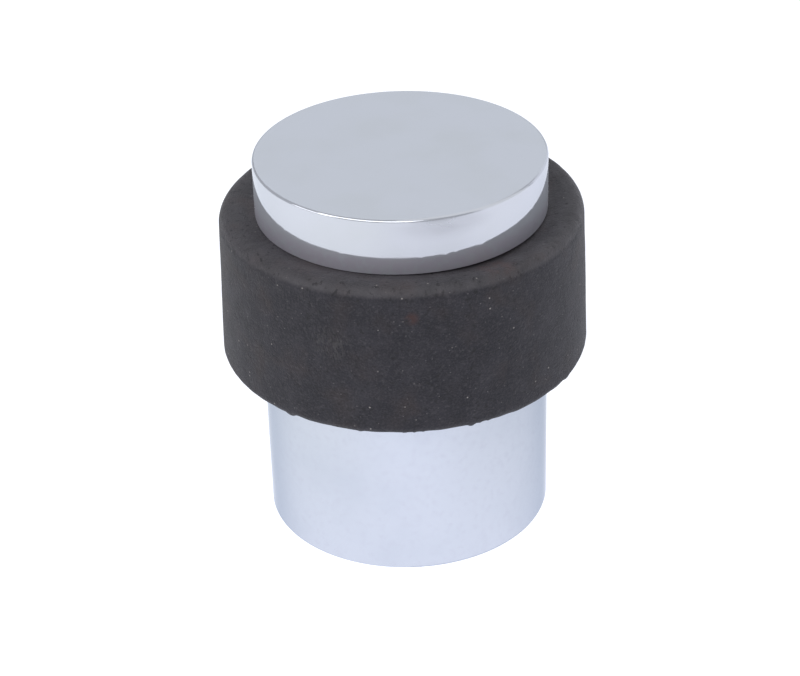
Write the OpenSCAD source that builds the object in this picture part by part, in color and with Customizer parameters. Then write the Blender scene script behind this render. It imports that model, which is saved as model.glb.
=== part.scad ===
// Floor door stop: a turned, chrome-plated foot screwed to the floor, a thick rubber
// ring round its neck for the door to meet, and a polished cap that screws on top and
// hides the fixing screw. Millimetres, +Z up, origin at the centre of the underside.

/* [Overall] */
// Diameter of the foot and of the cap
body_d = 30; // [29:0.5:36]
// Height from the floor to the top of the cap
overall_h = 41; // [40:0.5:60]

/* [Foot] */
// Height of the full-diameter foot below the rubber ring
foot_h = 19.2; // [14:0.1:20]
// Diameter of the neck that carries the rubber ring
neck_d = 23; // [22:0.1:24]
// Diameter of the well that the fixing screw stands in
well_d = 16; // [12:0.1:16.4]
// Thickness of the web at the bottom of the well
web_t = 5; // [3:0.1:7]
// Radius on the lower edge of the foot
foot_edge_r = 0.4; // [0.2:0.1:1]

/* [Cap] */
// Height of the cap above the rubber ring
cap_t = 5.9; // [5:0.1:8]
// Radius on the top edge of the cap
cap_edge_r = 0.3; // [0.1:0.05:1]
// Diameter of the hollow up the middle of the cap
cap_bore_d = 12; // [11:0.1:13]

/* [Cap thread] */
// Outside diameter of the thread
thread_d = 18; // [17.5:0.1:18.4]
// Rise in one turn
thread_pitch = 1.5; // [1:0.25:1.5]
// Full turns of thread on the cap's spigot
thread_turns = 3; // [2:1:4]
// Height of the thread from its root to its crest
thread_depth = 0.8; // [0.6:0.05:0.9]

/* [Rubber ring] */
// How far the ring stands out past the foot at its widest
buffer_reach = 4.2; // [2:0.1:9]
// How much narrower the ring is at its top than at its widest
buffer_taper = 0.8; // [0:0.1:2]
// Radius on the ring's outer edges
buffer_edge_r = 0.9; // [0.3:0.1:2]
// How far the ring's top rim stands above the face under the cap
buffer_lip = 0.4; // [0:0.05:0.8]

/* [O-ring] */
// Thickness of the cap's O-ring
o_ring_t = 1.5; // [1.2:0.1:1.6]

/* [Fixing screw] */
// Length of the wood screw under its head
screw_l = 35; // [30:0.5:35.5]
// Diameter over the wood screw's thread
screw_d = 4.5; // [3.5:0.1:5]
// Rise of the wood thread in one turn
screw_pitch = 2; // [1.5:0.1:2.5]
// Diameter of the screw's head
head_d = 9; // [7:0.1:9.5]
// Height of the screw's head
head_h = 2.8; // [2:0.1:3]
// Thickness of the washer under the head
washer_t = 1; // [0.8:0.1:1.5]

/* [Pad] */
// Diameter of the rubber pad under the foot
pad_d = 24; // [18:0.5:26]
// Thickness of the rubber pad
pad_t = 1.2; // [0.8:0.1:2]

/* [Clearances] */
// Gap round the neck inside the rubber ring
ring_gap = 0.05; // [0.03:0.01:0.1]
// Gap above and below the rubber ring
ring_play = 0.05; // [0.03:0.01:0.1]
// Gap under the seated cap, and under other seated faces
seat_gap = 0.03; // [0.01:0.01:0.05]
// Gap between the crests of the cap's two threads
thread_gap = 0.1; // [0.05:0.01:0.15]
// Gap round the screw in the washer, the web and the pad
screw_gap = 0.3; // [0.25:0.01:0.5]
// Gap round the O-ring
o_ring_gap = 0.1; // [0.05:0.01:0.15]
// Gap between the floor and the point of the stowed screw
point_gap = 0.3; // [0.1:0.1:1]
// Room above the stowed screw's head inside the cap
head_gap = 0.4; // [0.2:0.1:1]

/* [Hidden] */

$fn = 96;
thread_share = 0.8;     // share of the pitch that a ridge takes at its root
flank_share = 0.4;      // share of a ridge that each of its flanks takes
point_r = 0.15;         // radius of the screw's blunt point
fillet_r = 0.3;         // small edges on turned metal
cut = 1;                // how far a cutting shape runs past a face

foot_r = body_d / 2;
shoulder_z = overall_h - cap_t;
neck_top = shoulder_z - seat_gap;
groove_l = o_ring_t + 2 * o_ring_gap;
web_top = pad_t + web_t;
ring_bottom = foot_h + ring_play;
ring_top = shoulder_z - ring_play;
ring_r = foot_r + buffer_reach;

thread_r = thread_d / 2;
spigot_r = thread_r - thread_depth;
bore_r = thread_r + thread_gap;
spigot_l = groove_l + thread_pitch * (thread_turns + 1);
spigot_end = shoulder_z - spigot_l;
thread_z = spigot_end - thread_pitch;
groove_r = spigot_r - o_ring_gap;
groove_bottom = shoulder_z - groove_l;
o_ring_r = groove_r + o_ring_gap / 2 + o_ring_t / 2;
mouth_r = o_ring_r + o_ring_t / 2 + 2 * o_ring_gap;
mouth_bottom = groove_bottom - o_ring_gap;

seat_z = screw_l + point_gap;
hollow_top = max(seat_z + head_h + head_gap, shoulder_z);
screw_hole_r = screw_d / 2 + screw_gap;
core_r = screw_d / 3;
shank_r = screw_d * 0.4;
tip_l = screw_d * 1.1;
first_ridge = screw_pitch / 2;
screw_turns = floor(screw_l * 0.7 / screw_pitch);
shank_z = first_ridge + screw_pitch * screw_turns + shank_r - screw_l;
to_point = function (z) min(1, (point_r + (z + screw_l) * (core_r - point_r) / tip_l) / core_r);
washer_r = head_d / 2 + 0.5;
recess_w = 0.9;
recess_reach = head_d * 0.27;
recess_depth = head_h * 0.62;

// Outline points of a thread's side, drawn as parallel ridges: count of them from z upwards,
// from root out to crest, with both radii times shrink(z), which brings a thread to a point.
function ridges(z, count, pitch, root, crest, shrink = function (z) 1) = [
    for (i = [0 : count - 1], corner = [[0, root], [flank_share, crest], [1 - flank_share, crest], [1, root]])
        let (z_here = z + pitch * (i + thread_share * corner[0]))
        [corner[1] * shrink(z_here), z_here]
];

// Outline of a disc from z0 to z1 with a quarter-round on its lower and on its upper edge.
module edged_disc(r, z0, z1, low_r, high_r) {
    rotate_extrude() union() {
        translate([0, z0]) square([r - low_r, z1 - z0]);
        translate([0, z0]) square([r - high_r, z1 - z0]);
        translate([0, z0 + low_r]) square([r, z1 - z0 - low_r - high_r]);
        translate([r - low_r, z0 + low_r]) circle(low_r);
        translate([r - high_r, z1 - high_r]) circle(high_r);
    }
}

// Chrome-plated brass foot, turned in one piece with the neck for the rubber ring. The
// screw stands in its well, and the cap screws into the mouth of the neck.
module foot_body() {
    color("#D3DAEA") difference() {
        union() {
            edged_disc(foot_r, 0, foot_h, foot_edge_r, fillet_r);
            cylinder(h = neck_top, d = neck_d);
        }
        translate([0, 0, -cut]) cylinder(h = overall_h, r = screw_hole_r);
        translate([0, 0, -cut]) cylinder(h = pad_t + cut, d = pad_d + 2 * seat_gap);
        translate([0, 0, web_top]) cylinder(h = spigot_end - web_top, d = well_d);
        translate([0, 0, mouth_bottom]) cylinder(h = overall_h, r = mouth_r);
        rotate_extrude() polygon(concat(
            [[0, mouth_bottom + cut], [0, thread_z], [bore_r, thread_z]],
            ridges(thread_z, thread_turns + 2, thread_pitch, bore_r, bore_r + thread_depth),
            [[bore_r, mouth_bottom + cut]]
        ));
    }
}

// Thin rubber pad let into the underside, which keeps the foot from turning on the floor.
module base_pad() {
    color("#2B2A2D") translate([0, 0, seat_gap]) difference() {
        cylinder(h = pad_t - seat_gap, d = pad_d);
        translate([0, 0, -cut]) cylinder(h = pad_t + 2 * cut, r = screw_hole_r);
    }
}

// Moulded rubber ring that the door meets: widest near its foot, with rounded outer edges and
// a top that rises from the cap to a low rim.
module rubber_buffer() {
    edge = buffer_edge_r;
    low_corner = [ring_r - edge, ring_bottom + edge];
    high_corner = [ring_r - buffer_taper / 2 - edge, ring_top + buffer_lip - edge];
    lean = atan((low_corner.x - high_corner.x) / (high_corner.y - low_corner.y));
    out = edge * [cos(lean), sin(lean)];
    color("#3A383F") difference() {
        rotate_extrude() union() {
            polygon([
                [neck_d / 2, ring_bottom],
                [low_corner.x, ring_bottom],
                low_corner + out,
                high_corner + out,
                [high_corner.x, ring_top + buffer_lip],
                [foot_r, ring_top],
                [neck_d / 2, ring_top]
            ]);
            translate(low_corner) circle(edge);
            translate(high_corner) circle(edge);
        }
        cylinder(h = overall_h, d = neck_d + 2 * ring_gap);
    }
}

// Rubber O-ring in the groove above the cap's thread, which stops the cap working loose.
module o_ring() {
    color("#1D1C1E") translate([0, 0, groove_bottom + groove_l / 2]) rotate_extrude()
        translate([o_ring_r, 0]) circle(d = o_ring_t);
}

// Polished cap with a hollow threaded spigot, so the screw's head can stand inside it.
module top_cap() {
    color("#C2C9D3") difference() {
        union() {
            edged_disc(foot_r, shoulder_z, overall_h, fillet_r, cap_edge_r);
            rotate_extrude() polygon(concat(
                [[0, shoulder_z + cut], [0, spigot_end], [spigot_r, spigot_end]],
                ridges(spigot_end + thread_pitch / 2, thread_turns, thread_pitch, spigot_r, thread_r),
                [[spigot_r, groove_bottom], [groove_r, groove_bottom], [groove_r, shoulder_z + cut]]
            ));
        }
        translate([0, 0, spigot_end - cut]) cylinder(h = hollow_top - spigot_end + cut, d = cap_bore_d);
    }
}

// Steel washer that rides under the screw's head and lands on the web.
module screw_washer() {
    color("#B9B9B4") translate([0, 0, seat_z - washer_t]) difference() {
        cylinder(h = washer_t - seat_gap, r = washer_r);
        translate([0, 0, -cut]) cylinder(h = washer_t + 2 * cut, r = screw_hole_r);
    }
}

// Cross-recess pan-head wood screw, drawn up into the foot with its point just off the floor.
module fixing_screw() {
    color("#C9B26A") translate([0, 0, seat_z]) {
        difference() {
            rotate_extrude() intersection() {
                translate([0, head_h - head_d]) circle(head_d);
                square([head_d / 2, head_h]);
            }
            for (turn = [0, 90]) rotate(turn) translate([0, 0, head_h]) rotate([90, 0, 0])
                linear_extrude(recess_w, center = true) polygon([
                    [-recess_reach, cut],
                    [recess_reach, cut],
                    [recess_reach / 3, -recess_depth],
                    [-recess_reach / 3, -recess_depth]
                ]);
        }
        rotate_extrude() polygon(concat(
            [[0, fillet_r], [0, -screw_l], [point_r, -screw_l]],
            ridges(first_ridge - screw_l, screw_turns, screw_pitch, core_r, screw_d / 2, to_point),
            [[core_r, shank_z - shank_r], [shank_r, shank_z], [shank_r, fillet_r]]
        ));
    }
}

foot_body();
base_pad();
rubber_buffer();
o_ring();
top_cap();
screw_washer();
fixing_screw();
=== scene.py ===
"""Looks of a chrome-plated floor door stop with a rubber ring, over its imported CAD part."""

import math

import bmesh
import bpy
import numpy as np
from mathutils import Matrix, Vector, noise


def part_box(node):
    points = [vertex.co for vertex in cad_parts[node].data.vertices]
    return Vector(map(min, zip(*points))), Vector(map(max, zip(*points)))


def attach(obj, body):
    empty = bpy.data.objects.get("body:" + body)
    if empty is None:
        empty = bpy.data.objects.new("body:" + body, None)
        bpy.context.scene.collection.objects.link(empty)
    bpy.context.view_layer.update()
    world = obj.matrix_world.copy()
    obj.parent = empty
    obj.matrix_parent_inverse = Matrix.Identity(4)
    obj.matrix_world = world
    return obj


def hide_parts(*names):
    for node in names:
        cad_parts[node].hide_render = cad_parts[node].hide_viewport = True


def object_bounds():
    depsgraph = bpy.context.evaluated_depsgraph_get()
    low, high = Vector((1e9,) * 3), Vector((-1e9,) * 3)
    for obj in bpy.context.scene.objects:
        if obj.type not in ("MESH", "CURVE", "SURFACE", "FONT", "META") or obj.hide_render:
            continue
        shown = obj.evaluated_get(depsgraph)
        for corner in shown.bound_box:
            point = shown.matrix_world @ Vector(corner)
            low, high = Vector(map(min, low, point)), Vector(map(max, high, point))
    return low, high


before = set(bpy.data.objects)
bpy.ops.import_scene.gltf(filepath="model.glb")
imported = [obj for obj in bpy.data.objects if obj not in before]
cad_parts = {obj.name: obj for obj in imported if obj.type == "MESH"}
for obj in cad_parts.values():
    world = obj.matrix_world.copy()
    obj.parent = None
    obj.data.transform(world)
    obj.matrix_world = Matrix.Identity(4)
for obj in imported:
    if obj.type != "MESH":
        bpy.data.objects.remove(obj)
cad_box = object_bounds()

# Camera: a long lens in front of the stop and above it. It looks down on the cap and leans
# over by a degree or two.
stop_low, stop_high = cad_box
middle = (stop_low + stop_high) / 2
eye_back, eye_up = 0.2081, 0.1423
look_down, look_right, lean = (math.radians(angle) for angle in (30.612, -0.151, -1.746))
lens_mm, nearest_seen = 102.8, 0.01

camera = bpy.data.objects.new("camera", bpy.data.cameras.new("camera"))
camera.data.lens = lens_mm
camera.data.clip_start = nearest_seen
camera.matrix_world = (
    Matrix.Translation((middle.x, middle.y - eye_back, stop_low.z + eye_up))
    @ Matrix.Rotation(-look_right, 4, "Z")
    @ Matrix.Rotation(math.pi / 2 - look_down, 4, "X")
    @ Matrix.Rotation(lean, 4, "Z")
)
bpy.context.collection.objects.link(camera)
bpy.context.scene.camera = camera
bpy.context.scene.view_settings.view_transform = "Standard"


# Floor: a white table top that glows as if lit from below, so that almost no shadow lies on it. Its
# glow is painted brighter in front, to the left and far out on the right, and painted dimmer close by
# on the right, and the sides of the chrome mirror all of it.
class Wire:
    """A socket among a material's nodes. Sums on it add Math nodes, and node() adds any other."""

    def __init__(self, tree, socket):
        self.tree, self.socket = tree, socket

    def node(self, kind, settings, sockets, out=0):
        made = self.tree.nodes.new("ShaderNode" + kind)
        for name, value in settings.items():
            setattr(made, name, value)
        for key, value in sockets.items():
            if isinstance(value, Wire):
                self.tree.links.new(value.socket, made.inputs[key])
            else:
                made.inputs[key].default_value = value
        return Wire(self.tree, made.outputs[out])

    def maths(self, operation, *terms):
        return self.node("Math", {"operation": operation}, dict(enumerate(terms)))

    def __add__(self, other):
        return self.maths("ADD", self, other)

    def __sub__(self, other):
        return self.maths("SUBTRACT", self, other)

    def __rsub__(self, other):
        return self.maths("SUBTRACT", other, self)

    def __mul__(self, other):
        return self.maths("MULTIPLY", self, other)

    __radd__, __rmul__ = __add__, __mul__

    def feeds(self, shader, name):
        self.tree.links.new(self.socket, shader.inputs[name])


def finish(name, **fixed):
    """A new material, its shader, and the place on the piece in metres. Fixed values go on the shader."""
    made = bpy.data.materials.new(name)
    made.use_nodes = True
    shader = made.node_tree.nodes["Principled BSDF"]
    for socket, value in fixed.items():
        shader.inputs[socket.replace("_", " ")].default_value = value
    place = made.node_tree.nodes.new("ShaderNodeTexCoord")
    return made, shader, Wire(made.node_tree, place.outputs["Object"])


def over(value, low, high):
    """0 below low, 1 above high, and smooth between them."""
    return value.node(
        "MapRange", {"interpolation_type": "SMOOTHSTEP"},
        {"Value": value, "From Min": low, "From Max": high},
    )


def tint(mask, under, upper):
    """One colour where the mask is 0, and the other where it is 1."""
    return mask.node("Mix", {"data_type": "RGBA"}, {"Factor": mask, 6: under, 7: upper}, out=2)


def part_of(place, axis):
    """One coordinate of the place: 0, 1 or 2 for X, Y or Z."""
    return place.node("SeparateXYZ", {}, {"Vector": place}, out=axis)


floor_reach, floor_sides = 3.0, 128
painted_glow_behind, painted_glow_front = (0.99, 1.01, 1.08, 1), (1.22, 1.24, 1.37, 1)
painted_glow_further, painted_glow_left = (1.03, 1.05, 1.13, 1), (1.11, 1.14, 1.17, 1)
painted_shade_right, painted_glow_beyond = (0.97, 0.99, 1.07, 1), (1.14, 1.16, 1.25, 1)
bpy.ops.mesh.primitive_circle_add(
    vertices=floor_sides, radius=floor_reach, fill_type="NGON",
    location=(middle.x, middle.y, stop_low.z),
)
floor = bpy.context.object
floor.name = "floor"
floor_painted_glow, shader, place = finish(
    "floor_painted_glow", Base_Color=(0.08, 0.08, 0.085, 1), Roughness=0.9, Emission_Strength=1.0
)
# Painted light and shade in the floor's glow: brighter in front, left and far right, dimmer close right.
in_front = over(part_of(place, 1) * -1, -0.05, 0.015)
further = over(part_of(place, 1) * -1, 0.035, 0.07)
to_left = over(part_of(place, 0) * -1, 0.0, 0.05)
to_right = over(part_of(place, 0), 0.0, 0.04)
beyond = over(part_of(place, 0), 0.045, 0.085)
white = tint(in_front, painted_glow_behind, painted_glow_front)
white = tint(further, white, painted_glow_further)
white = tint(to_left * 0.8, white, painted_glow_left)
white = tint(to_right * 0.75, white, painted_shade_right)
tint(beyond, white, painted_glow_beyond).feeds(shader, "Emission Color")
floor.data.materials.append(floor_painted_glow)

# Studio: a pale room with soft lamps for its walls. The cap's top mirrors the back wall, and the
# front box, above the camera and to the left, lights the rubber and the cap's edge. The roof, the
# side walls and the back corner are what the edges of the chrome show, and views from lower down.
world = bpy.data.worlds.new("pale_room")
world.use_nodes = True
room_grey = (0.36, 0.37, 0.40)
world.node_tree.nodes["Background"].inputs["Color"].default_value = (*room_grey, 1)
bpy.context.scene.world = world


def softbox(name, width, height, stand, radiance):
    """A soft lamp that stands there, turned to the stop, as bright to look at as its radiance."""
    lamp = bpy.data.lights.new(name, "AREA")
    lamp.shape = "RECTANGLE"
    lamp.size, lamp.size_y = width, height
    added = [seen - behind for seen, behind in zip(radiance, room_grey)]
    lamp.color = [part / max(added) for part in added]
    lamp.energy = max(added) * math.pi * width * height
    made = bpy.data.objects.new(name, lamp)
    made.location = Vector(stand)
    made.rotation_mode = "QUATERNION"
    made.rotation_quaternion = (Vector(stand) - middle).to_track_quat("Z", "Y")
    bpy.context.collection.objects.link(made)


softbox("back_wall", 0.7, 0.8, (0.0, 0.72, 0.62), (0.875, 0.91, 0.96))
softbox("front_box", 1.0, 0.36, (-0.25, -0.473, 0.595), (3.5, 3.47, 3.52))
softbox("roof", 0.9, 0.9, (0.4, 0.0, 0.85), (0.95, 0.96, 0.98))
softbox("right_wall", 0.8, 0.6, (0.8, -0.1, 0.3), (0.95, 0.97, 1.0))
softbox("back_corner", 0.6, 0.45, (0.55, 0.55, 0.27), (0.97, 0.99, 1.08))
softbox("left_wall", 0.5, 0.3, (-0.7, -0.25, 0.36), (2.6, 2.55, 2.65))

# Foot: turned brass, polished and chrome-plated, in one piece with the neck inside the rubber.
# Its side keeps faint rings from the polishing wheel.
plate_light, plate_dark = (0.515, 0.545, 0.595, 1), (0.485, 0.517, 0.568, 1)
plate_worn = (0.48, 0.50, 0.555, 1)


def lumps(place, size, detail, seed=0.0):
    """Soft noise from 0 to 1, with lumps of about that size in metres."""
    return place.node(
        "TexNoise", {"noise_dimensions": "4D"},
        {"Vector": place, "W": seed, "Scale": 1 / size, "Detail": detail},
    )


def stretched(place, x, y, z):
    """The place with each direction scaled, which draws noise out along the smaller scales."""
    return place.node("VectorMath", {"operation": "MULTIPLY"}, {0: place, 1: (x, y, z)})


def bumps(shader, height, strength, depth):
    """Raises the surface by the height, which counts in steps of that depth in metres."""
    sockets = {"Strength": strength, "Distance": depth, "Height": height}
    height.node("Bump", {}, sockets).feeds(shader, "Normal")


foot_chrome, shader, place = finish(
    "foot_chrome", Metallic=0.94, Specular_Tint=(0.62, 0.655, 0.70, 1)
)
haze = over(lumps(place, 0.009, 3.0), 0.42, 0.72)
wheel = lumps(stretched(place, 0.08, 0.08, 1.0), 0.00025, 3.0)
worn = over(lumps(place, 0.0007, 5.0, 2.0), 0.45, 0.75)
silver = tint(haze, plate_light, plate_dark)
tint(worn * 0.5, silver, plate_worn).feeds(shader, "Base Color")
(0.06 + haze * 0.06 + wheel * 0.03).feeds(shader, "Roughness")
bumps(shader, wheel, 0.12, 0.00001)
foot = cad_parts["foot_body"]
foot.data.materials.clear()
foot.data.materials.append(foot_chrome)

# Rubber ring: one moulded piece slipped over the neck before the cap goes on. Its top rises to
# an uneven rim, flash hangs on round the bottom edge, and the skin is dusty and scuffed. Its top is
# painted lighter than its side, partly as dust and partly as painted light from above.
ring_low, ring_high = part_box("rubber_buffer")
cap_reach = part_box("top_cap")[1].x
ring_bore, bore_corner = 0.01155, 0.0002
side_room = 0.00006
ring_reach = ring_high.x - side_room
ring_taper, side_lean, rim_stop = 0.0004, 1.6, 86
base_edge, rim_edge = 0.0009, 0.0013
ring_lip, lip_run, lip_rise = 0.0004, 0.0006, 0.00003
under_cap = ring_high.z - ring_lip
rim_r = ring_reach - ring_taper - rim_edge
ring_steps, ring_gap = 540, 0.0003


def turned(name, outline, steps, shape=lambda angle, radius, height: (radius, height)):
    """A mesh turned round the upright axis from a closed outline of (radius, height) points.
    shape(angle, radius, height) gives each point's own radius and height."""
    points = []
    for angle in np.linspace(0, 2 * math.pi, steps, endpoint=False):
        for radius, height in outline:
            r, z = shape(angle, radius, height)
            points.append((r * math.cos(angle), r * math.sin(angle), z))
    count = len(outline)
    faces = []
    for i in range(steps):
        here, after = i * count, (i + 1) % steps * count
        for j in range(count):
            k = (j + 1) % count
            faces.append((here + j, after + j, after + k, here + k))
    mesh = bpy.data.meshes.new(name)
    mesh.from_pydata(points, [], faces)
    tidy = bmesh.new()
    tidy.from_mesh(mesh)
    bmesh.ops.remove_doubles(tidy, verts=tidy.verts, dist=1e-8)
    bmesh.ops.recalc_face_normals(tidy, faces=tidy.faces)
    tidy.to_mesh(mesh)
    tidy.free()
    mesh.polygons.foreach_set("use_smooth", [True] * len(mesh.polygons))
    made = bpy.data.objects.new(name, mesh)
    bpy.context.collection.objects.link(made)
    return made


def line(a, b, gap):
    """Evenly spaced points from a to b, no further apart than gap."""
    n = max(1, math.ceil(math.dist(a, b) / gap))
    return [(a[0] + (b[0] - a[0]) * k / n, a[1] + (b[1] - a[1]) * k / n) for k in range(n + 1)]


def filled(corners, gap):
    """A closed outline with points added, so that no two are further apart than gap."""
    points = []
    for a, b in zip(corners, corners[1:] + corners[:1]):
        points += line(a, b, gap)[:-1]
    return points


def rounded(centre, radius, start, end, parts=8):
    """Points round an edge, between two angles in degrees."""
    turns = [math.radians(start + (end - start) * k / parts) for k in range(parts + 1)]
    return [(centre[0] + radius * math.cos(t), centre[1] + radius * math.sin(t)) for t in turns]


def bulge(off, reach):
    """1 in the middle, and smoothly 0 at that distance from it."""
    share = min(1.0, abs(off) / reach)
    return (1 - share * share) ** 2


def from_front(angle, turn):
    """How far an angle is past a turn in degrees, counted from the front towards +X."""
    return (math.degrees(angle) + 90 - turn + 180) % 360 - 180


# Each lump of flash: its turn from the front in degrees, its width and its drop in metres.
flash = [(-38.5, 0.0007, 0.00026), (-14.5, 0.0004, 0.0001), (-1, 0.0002, 0.0001), (2, 0.00025, 0.0001),
         (4.5, 0.0002, 0.00008), (19.8, 0.0005, 0.00024), (22.5, 0.0003, 0.0001), (25.5, 0.0003, 0.0001),
         (60, 0.0006, 0.0002), (118, 0.0012, 0.0002), (171, 0.0008, 0.00018), (-80, 0.001, 0.0001),
         (-133, 0.0013, 0.0002)]
# Each nick in the top rim, in the same way.
nicks = [(19, 0.0007, 0.00016), (24, 0.0005, 0.0001), (37, 0.0009, 0.00014), (-28, 0.0008, 0.0001),
         (8, 0.0005, 0.00008), (-62, 0.0007, 0.00012), (75, 0.0008, 0.0001), (140, 0.001, 0.00015)]
# Each slow swell of the top: its turn and half its spread in degrees, and its rise in metres.
swells = [(115, 110, 0.00022), (-100, 80, -0.00008)]
pinch_turn, pinch_spread, pinch_drop = 42, 50, 0.0004
# How often the waves come to the metre, and how far they move the base, the top and the side.
wave_rate, fine_rate = 170, 800
base_wave, base_fine = 0.00006, 0.00006
top_wave, top_fine = 0.00003, 0.000025
side_wave, side_fine, side_in = 0.00004, 0.000015, 0.00002
edge_zone, lip_zone = 0.0012, 0.003


def ring_shape(angle, radius, height):
    """The moulded ring's small faults: wavy sides, an uneven top, and flash at the bottom rim."""
    around = Vector((math.cos(angle), math.sin(angle), 0)) * ring_reach
    wave = noise.noise((around + Vector((0, 0, height))) * wave_rate)
    fine = noise.noise((around + Vector((0, 0, height))) * fine_rate)
    outer = min(1.0, max(0.0, (radius - cap_reach) / lip_zone))
    low = outer * max(0.0, 1 - (height - ring_low.z) / edge_zone)
    near_top = max(0.0, 1 - (ring_high.z - height) / edge_zone)
    high = outer * near_top
    height -= low * (base_fine * fine + base_wave * wave)
    for turn, width, drop in flash:
        height -= low * drop * bulge(math.radians(from_front(angle, turn)) * radius, width)
    height += high * (top_wave * wave + top_fine * fine)
    for turn, spread, rise in swells:
        height += high * rise * bulge(from_front(angle, turn), spread)
    for turn, width, drop in nicks:
        height -= high * drop * bulge(math.radians(from_front(angle, turn)) * radius, width)
    height -= (1 - outer) * near_top * pinch_drop * bulge(from_front(angle, pinch_turn), pinch_spread)
    radius += outer * (side_wave * wave + side_fine * fine - side_in)
    return radius, height


ring_outline = filled(
    [(ring_bore, under_cap - bore_corner), (ring_bore, ring_low.z + bore_corner)]
    + [(ring_bore + bore_corner, ring_low.z)]
    + rounded((ring_reach - base_edge, ring_low.z + base_edge), base_edge, -90, side_lean)
    + rounded((rim_r, ring_high.z - rim_edge), rim_edge, side_lean, rim_stop, parts=12)
    + [(rim_r - lip_run, ring_high.z - lip_rise), (cap_reach + lip_run, under_cap + lip_rise)]
    + [(cap_reach, under_cap), (ring_bore + bore_corner, under_cap)],
    ring_gap,
)
ring = turned("rubber_ring", ring_outline, ring_steps, ring_shape)

jet, charcoal, brown_black = (
    (0.0036, 0.0032, 0.0076, 1), (0.0130, 0.0118, 0.0175, 1), (0.0195, 0.0125, 0.0125, 1)
)
thin_dust_and_painted_light, thick_dust_and_painted_light = (0.034, 0.032, 0.036, 1), (0.052, 0.049, 0.055, 1)
brown_dust_and_painted_light, grain_grey = (0.062, 0.045, 0.045, 1), (0.060, 0.056, 0.061, 1)
grit_grey, pit_black = (0.052, 0.048, 0.053, 1), (0.003, 0.0025, 0.004, 1)
graze_red, rust_brown = (0.062, 0.036, 0.034, 1), (0.040, 0.014, 0.011, 1)
arc_black, scuff_grey = (0.005, 0.004, 0.005, 1), (0.060, 0.056, 0.056, 1)
fleck_grey, speck_white = (0.15, 0.143, 0.145, 1), (0.30, 0.28, 0.265, 1)
graze_spot = (0.0090, -0.0139, ring_high.z)
rust_spot = (0.0007, -0.0190, ring_high.z - 0.0031)
scuff_spot = (-0.0072, -0.0176, ring_low.z + 0.0098)
buffer_rubber, shader, place = finish(
    "buffer_rubber", Specular_IOR_Level=0.42, Sheen_Weight=0.03, Sheen_Roughness=0.5
)
# Painted light: the top is lighter than the side, partly from dust and partly as light from above.
upward = over(part_of(place, 2), ring_high.z - 0.0011, ring_high.z - 0.00055)
cloud = over(lumps(place, 0.0022, 5.0, 2.0), 0.35, 0.68)
brown = over(lumps(place, 0.0034, 5.0, 7.0), 0.48, 0.75)
grain = lumps(place, 0.00018, 5.0, 3.0)
mottle = tint(cloud, jet, charcoal)
mottle = tint(brown * 0.7, mottle, brown_black)
dust_and_painted_light = tint(cloud, thin_dust_and_painted_light, thick_dust_and_painted_light)
dust_and_painted_light = tint(brown * 0.5, dust_and_painted_light, brown_dust_and_painted_light)
skin = tint(upward, mottle, dust_and_painted_light)
skin = tint(over(grain, 0.42, 0.72) * (0.3 + upward * 0.3), skin, grain_grey)
grit = over(lumps(place, 0.00034, 3.0, 17.0), 0.52, 0.72)
skin = tint(grit * 0.4, skin, grit_grey)
dark_pits = over(lumps(place, 0.0005, 3.0, 23.0), 0.56, 0.7)
skin = tint(dark_pits * 0.75, skin, pit_black)


def from_spot(place, spot):
    """How far the place is from a spot, both in metres."""
    return place.node("VectorMath", {"operation": "DISTANCE"}, {0: place, 1: spot}, out=1)


graze_off = from_spot(place, graze_spot)
red = (1 - over(graze_off, 0.0004, 0.0026)) * over(lumps(place, 0.0009, 4.0, 8.0), 0.35, 0.6)
skin = tint(red * 0.8, skin, graze_red)
rust = 1 - over(from_spot(place, rust_spot), 0.0002, 0.001)
rust = rust * over(lumps(place, 0.0005, 3.0, 13.0), 0.35, 0.55)
skin = tint(rust * 0.8, skin, rust_brown)
arc = 1 - over((graze_off - 0.0012).maths("ABSOLUTE"), 0.00007, 0.0002)
arc = arc * over(part_of(place, 1) * -1, 0.0139, 0.0144)
skin = tint(arc, skin, arc_black)


def dust(place, apart, size, share, seed):
    """Specks of that radius, about that far apart, with that share of them kept."""
    moved = place.node("VectorMath", {"operation": "ADD"}, {0: place, 1: (seed, seed, seed)})
    cell = {"Vector": moved, "Scale": 1 / apart}
    near = moved.node("TexVoronoi", {}, cell) * (0.6 + lumps(place, size * 1.2, 2.0, seed) * 0.9)
    pick = part_of(moved.node("TexVoronoi", {}, cell, out=1), 0)
    return (1 - over(near, size / apart * 0.4, size / apart * 1.3)) * over(pick, 1 - share, 1.6 - share)


specks = dust(place, 0.0012, 0.0001, 0.55, 0.3)
flecks = dust(place, 0.0006, 0.00007, 0.6, 0.7)
scuffed = 1 - over(from_spot(place, scuff_spot), 0.0006, 0.0026)
gouges = over(lumps(stretched(place, 1.0, 1.0, 0.45), 0.00035, 4.0, 6.0), 0.45, 0.6)
skin = tint(scuffed * gouges * 0.35, skin, scuff_grey)
skin = tint(flecks * 0.7, skin, fleck_grey)
tint(specks, skin, speck_white).feeds(shader, "Base Color")
pits = over(lumps(place, 0.0006, 3.0, 11.0), 0.3, 0.48)
(0.58 + grain * 0.2 - upward * 0.08).feeds(shader, "Roughness")
relief = grain + lumps(place, 0.0014, 3.0, 5.0) * 0.3 + pits * 0.3 + specks * 0.3
relief = relief + scuffed * gouges * 1.6 - arc * 0.8
bumps(shader, relief, 0.8, 0.00014)
ring.data.materials.append(buffer_rubber)
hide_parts("rubber_buffer")
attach(ring, "ring")

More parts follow.
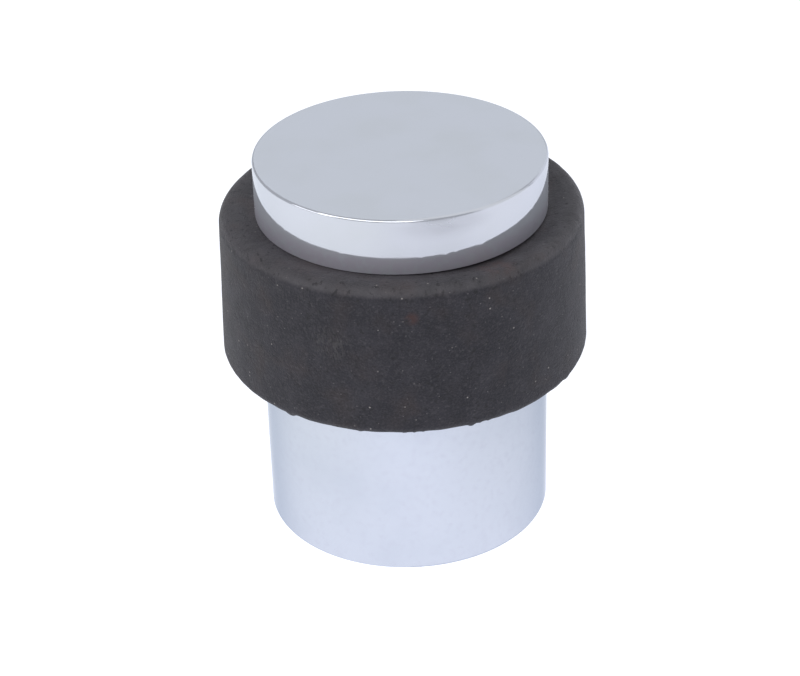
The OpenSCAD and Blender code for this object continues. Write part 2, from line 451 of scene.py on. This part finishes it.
# Cap: turned brass, chrome-plated, with a mirror-polished flat top and a hollow threaded spigot
# that screws down into the neck. The polishing wheel has softened one stretch of its edge, and a haze
# lies on its plating. Below the edge at the front right a dull smear is rougher and painted darker,
# as a painted dark reflection. Rubber has rubbed off on the foot of its side, and patches of painted
# purple tint there colour the rubber's reflection.
cap_low, cap_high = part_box("top_cap")
side = cap_high.x
shoulder = 0.0351
cap_edge, lower_edge, corner = 0.0003, 0.0001, 0.0001
spigot_root, spigot_bore, hollow_top, hollow_corner = 0.0082, 0.006, 0.0385, 0.0002
groove_root, groove_low = 0.0081, 0.0334
thread_rise, thread_depth, thread_gap = 0.0015, 0.0008, 0.00009
thread_start, thread_end = 0.0008, 0.0006
# The thread's rings of points, counted from its top. Below them it runs out in one stretch.
thread_rings = 60
ridge_flank, ridge_flat = 0.4, 1.25
soft_turn, soft_spread, soft_deep, soft_zone = 16, 26, 0.00016, 0.0011
# How far in from the side the top has its last rings of points, and where the side has its first.
top_rings = (0.0012, 0.0006, 0.0004)
side_rings = [0.0001 * k for k in range(1, 10)]
cap_steps = 480


def ridge(angle, height, rise):
    """How high a right-handed thread stands there, from 0 at its root to 1 at its crest."""
    turn = (height / rise - angle / (2 * math.pi)) % 1
    return min(1.0, max(0.0, 1 - abs(turn - 0.5) / ridge_flank) * ridge_flat)


def cap_shape(angle, radius, height):
    """The spigot's thread, which starts and ends in a taper, and the softened edge of the disc."""
    if radius == spigot_root:
        taper = min(1.0, (height - cap_low.z) / thread_start, (groove_low - height) / thread_end)
        radius += thread_depth * ridge(angle, height, thread_rise) * max(0.0, taper)
    if radius > side - 2 * cap_edge:
        soft = bulge(from_front(angle, soft_turn), soft_spread)
        radius -= soft_deep * (soft * max(0.0, 1 - (cap_high.z - height) / soft_zone) ** 2)
    return radius, height


cap_outline = (
    [(0.0, cap_high.z)]
    + [(side - inward, cap_high.z) for inward in top_rings]
    + rounded((side - cap_edge, cap_high.z - cap_edge), cap_edge, 90, 0, parts=12)
    + [(side, cap_high.z - cap_edge - down) for down in side_rings]
    + [(side, shoulder + lower_edge + 2 * corner)]
    + rounded((side - lower_edge, shoulder + lower_edge), lower_edge, 0, -90)
    + [(side - 5 * corner, shoulder), (groove_root + corner, shoulder)]
    + [(groove_root, shoulder - corner), (groove_root, groove_low + corner), (groove_root, groove_low)]
    + line((spigot_root, groove_low), (spigot_root, cap_low.z), thread_gap)[:thread_rings]
    + [(spigot_root, cap_low.z), (spigot_root - corner, cap_low.z), (spigot_bore + corner, cap_low.z)]
    + [(spigot_bore, cap_low.z + corner), (spigot_bore, hollow_top - hollow_corner)]
    + [(spigot_bore - hollow_corner, hollow_top), (0.0, hollow_top)]
)
cap = turned("polished_cap", cap_outline, cap_steps, cap_shape)

cap_light, cap_dark = (0.568, 0.59, 0.635, 1), (0.553, 0.575, 0.61, 1)
cap_painted_dark_reflection, cap_rubbed_and_painted_tint = (0.45, 0.465, 0.50, 1), (0.555, 0.535, 0.60, 1)
smear_squash = (0.7, 0.7, 2.4)
smear_spot = (0.0029, -0.0100, smear_squash[2] * (cap_high.z - 0.0008))
cap_chrome, shader, place = finish(
    "cap_chrome", Metallic=0.66, Specular_IOR_Level=0.0, Specular_Tint=(0.9, 0.92, 0.95, 1)
)
smear = over(lumps(place, 0.006, 3.0, 4.0), 0.42, 0.72)
scratch = lumps(stretched(place, 1.0, 0.05, 1.0), 0.00022, 2.0, 9.0)
# Painted dark reflection: a dull smear below the edge at the front right, rougher and painted darker.
blur_off = from_spot(stretched(place, *smear_squash), smear_spot)
streaks = over(lumps(stretched(place, 0.3, 0.3, 1.0), 0.0009, 1.0, 3.0), 0.25, 0.75)
haze_and_painted_dark = (1 - over(blur_off, 0.0004, 0.0046)) * (0.55 + streaks * 0.45)
haze_and_painted_dark = haze_and_painted_dark * (1 - over(part_of(place, 2), cap_high.z - 0.0003, cap_high.z - 0.00005))
bright = tint(smear, cap_light, cap_dark)
bright = tint(haze_and_painted_dark, bright, cap_painted_dark_reflection)
# Rubbed-off rubber at the foot of the side, with a painted purple tint for the rubber's reflection there.
rubbed_and_painted_tint = 1 - over(part_of(place, 2), shoulder + 0.0012, shoulder + 0.0022)
rubbed_and_painted_tint = rubbed_and_painted_tint * over(lumps(place, 0.0007, 4.0, 26.0), 0.25, 0.6)
tint(rubbed_and_painted_tint, bright, cap_rubbed_and_painted_tint).feeds(shader, "Base Color")
(0.03 + smear * 0.06 + scratch * 0.02 + haze_and_painted_dark * 0.3).feeds(shader, "Roughness")
bumps(shader, lumps(place, 0.0035, 1.0, 12.0), 0.1, 0.00003)
cap.data.materials.append(cap_chrome)
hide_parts("top_cap")
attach(cap, "cap")

# O-ring: moulded rubber in the groove above the cap's thread. The line where its mould parted
# is a faint, uneven groove round the outside.
seal_low, seal_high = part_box("o_ring")
seal_thick = (seal_high.z - seal_low.z) / 2
seal_middle = (seal_high.x - seal_thick, (seal_low.z + seal_high.z) / 2)
seal_sides, seal_steps = 40, 160
parting_tall, parting_deep, parting_rate = 0.00008, 0.00001, 9
seal_clean, seal_wiped = (0.012, 0.012, 0.013, 1), (0.022, 0.021, 0.022, 1)


def seal_shape(angle, radius, height):
    """The groove along the line where the O-ring's mould parted."""
    if radius > seal_middle[0]:
        groove = bulge(height - seal_middle[1], parting_tall)
        radius += groove * parting_deep * (noise.noise(Vector((angle * parting_rate, 0, 0))) - 1)
    return radius, height


seal_outline = rounded(seal_middle, seal_thick, 0, 360 - 360 / seal_sides, parts=seal_sides - 1)
seal = turned("o_ring_moulded", seal_outline, seal_steps, seal_shape)
seal_rubber, shader, place = finish("seal_rubber", Specular_IOR_Level=0.5)
wiped = over(lumps(place, 0.0015, 4.0, 15.0), 0.4, 0.65)
tint(wiped, seal_clean, seal_wiped).feeds(shader, "Base Color")
(0.32 + wiped * 0.2).feeds(shader, "Roughness")
bumps(shader, lumps(place, 0.0002, 4.0), 0.3, 0.00002)
seal.data.materials.append(seal_rubber)
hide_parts("o_ring")
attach(seal, "seal")

# Pad: a disc punched from rubber sheet and pressed into the underside. Its cut edges are soft,
# and its faces keep the grain of the cloth that the sheet was cured on.
pad_low, pad_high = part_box("base_pad")
pad_hole, pad_edge = 0.00255, 0.00012
pad_gap, pad_steps = 0.0006, 180
weave_rate = 9000.0
pad_black, pad_chalky = (0.022, 0.022, 0.024, 1), (0.05, 0.049, 0.05, 1)
pad_corners = [
    ((pad_high.x - pad_edge, pad_high.z - pad_edge), 90, 0),
    ((pad_high.x - pad_edge, pad_low.z + pad_edge), 0, -90),
    ((pad_hole + pad_edge, pad_low.z + pad_edge), -90, -180),
    ((pad_hole + pad_edge, pad_high.z - pad_edge), 180, 90),
]
pad_outline = []
for centre, start, end in pad_corners:
    pad_outline += rounded(centre, pad_edge, start, end, parts=5)
pad = turned("foot_pad", filled(pad_outline, pad_gap), pad_steps)
pad_rubber, shader, place = finish("pad_rubber", Specular_IOR_Level=0.35)
across = (part_of(place, 0) * weave_rate).maths("SINE")
along = (part_of(place, 1) * weave_rate).maths("SINE")
cloth = over(across * along, -0.6, 0.6)
chalk = over(lumps(place, 0.003, 5.0, 21.0), 0.45, 0.7)
tint(chalk, pad_black, pad_chalky).feeds(shader, "Base Color")
(0.7 + chalk * 0.15).feeds(shader, "Roughness")
bumps(shader, cloth, 0.4, 0.00005)
pad.data.materials.append(pad_rubber)
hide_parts("base_pad")
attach(pad, "foot")

# Washer: stamped steel, bright zinc plate. The die has rolled its upper edges over and left the
# lower ones sharp.
disc_low, disc_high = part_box("screw_washer")
disc_hole, disc_roll, disc_burr = 0.00255, 0.0003, 0.00005
disc_gap, disc_steps = 0.0004, 144
zinc_bright, zinc_rubbed = (0.62, 0.62, 0.60, 1), (0.44, 0.44, 0.44, 1)
disc_corners = [
    ((disc_high.x - disc_roll, disc_high.z - disc_roll), disc_roll, 90, 0),
    ((disc_high.x - disc_burr, disc_low.z + disc_burr), disc_burr, 0, -90),
    ((disc_hole + disc_burr, disc_low.z + disc_burr), disc_burr, -90, -180),
    ((disc_hole + disc_roll, disc_high.z - disc_roll), disc_roll, 180, 90),
]
disc_outline = []
for centre, radius, start, end in disc_corners:
    disc_outline += rounded(centre, radius, start, end, parts=6)
washer = turned("plated_washer", filled(disc_outline, disc_gap), disc_steps)
washer_steel, shader, place = finish("washer_steel", Metallic=1.0)
rubbed = over(lumps(place, 0.0012, 4.0, 31.0), 0.4, 0.7)
tint(rubbed, zinc_bright, zinc_rubbed).feeds(shader, "Base Color")
(0.24 + rubbed * 0.22).feeds(shader, "Roughness")
bumps(shader, lumps(place, 0.00015, 4.0), 0.3, 0.00002)
washer.data.materials.append(washer_steel)
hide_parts("screw_washer")
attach(washer, "washer")

# Fixing screw: a cold-headed steel wood screw with a rolled thread, zinc-plated and passivated
# yellow. It waits inside the foot, point down, and takes a cross-head driver.
screw_low, screw_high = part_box("fixing_screw")
head_base, head_reach, head_round = 0.0353, 0.0045, 0.009
screw_crest, screw_core, screw_shank = 0.00225, 0.0015, 0.0018
screw_rise, screw_tip, shank_low = 0.002, 0.005, 0.0265
blunt, run_out = 0.00015, 0.0015
head_corner, neck_corner, shank_cone = 0.0001, 0.0002, 0.0003
screw_gap, screw_steps, sharp_turn = 0.00012, 72, 38


def screw_shape(angle, radius, height):
    """The rolled thread, which runs out at the shank and shrinks to the point."""
    if radius == screw_core:
        core = blunt + (height - screw_low.z) * (screw_core - blunt) / screw_tip
        fade = min(1.0, max(0.0, (shank_low - height) / run_out))
        radius += (screw_crest - screw_core) * ridge(angle, height, screw_rise) * fade
        radius *= min(1.0, core / screw_core)
    return radius, height


dome = math.degrees(math.asin(head_reach / head_round))
dome_middle = screw_high.z - head_round
screw_outline = (
    rounded((0.0, dome_middle), head_round, 90, 90 - dome, parts=16)
    + [(head_reach, head_base + head_corner), (head_reach - head_corner, head_base)]
    + [(screw_shank + neck_corner, head_base), (screw_shank, head_base - neck_corner)]
    + [(screw_shank, shank_low + shank_cone)]
    + line((screw_core, shank_low), (screw_core, screw_low.z), screw_gap)
    + [(0.0, screw_low.z)]
)
screw = turned("wood_screw", screw_outline, screw_steps, screw_shape)

# The driver's tip that cuts the recess: a plus-shaped bar that narrows downwards.
recess_half, recess_reach, recess_end, recess_deep, recess_over = 0.00045, 0.0024, 0.0009, 0.0017, 0.0003
blades = bmesh.new()
rims = []
for reach, z in ((recess_reach, screw_high.z + recess_over), (recess_end, screw_high.z - recess_deep)):
    rim = []
    for turn in range(4):
        arm = Matrix.Rotation(turn * math.pi / 2, 3, "Z")
        for x, y in ((recess_half, -recess_half), (reach, -recess_half), (reach, recess_half)):
            rim.append(blades.verts.new(arm @ Vector((x, y, z))))
    rims.append(rim)
blades.faces.new(rims[0])
blades.faces.new(rims[1][::-1])
for k in range(len(rims[0])):
    after = (k + 1) % len(rims[0])
    blades.faces.new((rims[0][after], rims[0][k], rims[1][k], rims[1][after]))
bmesh.ops.recalc_face_normals(blades, faces=blades.faces)
cutter_mesh = bpy.data.meshes.new("driver_tip")
blades.to_mesh(cutter_mesh)
blades.free()
cutter = bpy.data.objects.new("driver_tip", cutter_mesh)
bpy.context.collection.objects.link(cutter)
cut = screw.modifiers.new("cross recess", "BOOLEAN")
cut.operation, cut.solver, cut.object = "DIFFERENCE", "EXACT", cutter
cut_mesh = bpy.data.meshes.new_from_object(screw.evaluated_get(bpy.context.evaluated_depsgraph_get()))
screw.modifiers.clear()
screw.data = cut_mesh
bpy.data.objects.remove(cutter)
screw.data.set_sharp_from_angle(angle=math.radians(sharp_turn))

gold_yellow, gold_green, gold_red = (
    (0.72, 0.58, 0.28, 1), (0.62, 0.60, 0.36, 1), (0.66, 0.46, 0.38, 1)
)
screw_steel, shader, place = finish("screw_steel", Metallic=1.0)
hue = lumps(place, 0.0016, 3.0, 41.0)
gold = tint(over(hue, 0.35, 0.6), gold_yellow, gold_green)
tint(over(hue, 0.58, 0.72), gold, gold_red).feeds(shader, "Base Color")
drawn = lumps(stretched(place, 1.0, 1.0, 0.2), 0.0001, 3.0, 44.0)
(0.2 + drawn * 0.25).feeds(shader, "Roughness")
bumps(shader, drawn, 0.25, 0.00001)
screw.data.materials.append(screw_steel)
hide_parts("fixing_screw")
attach(screw, "screw")
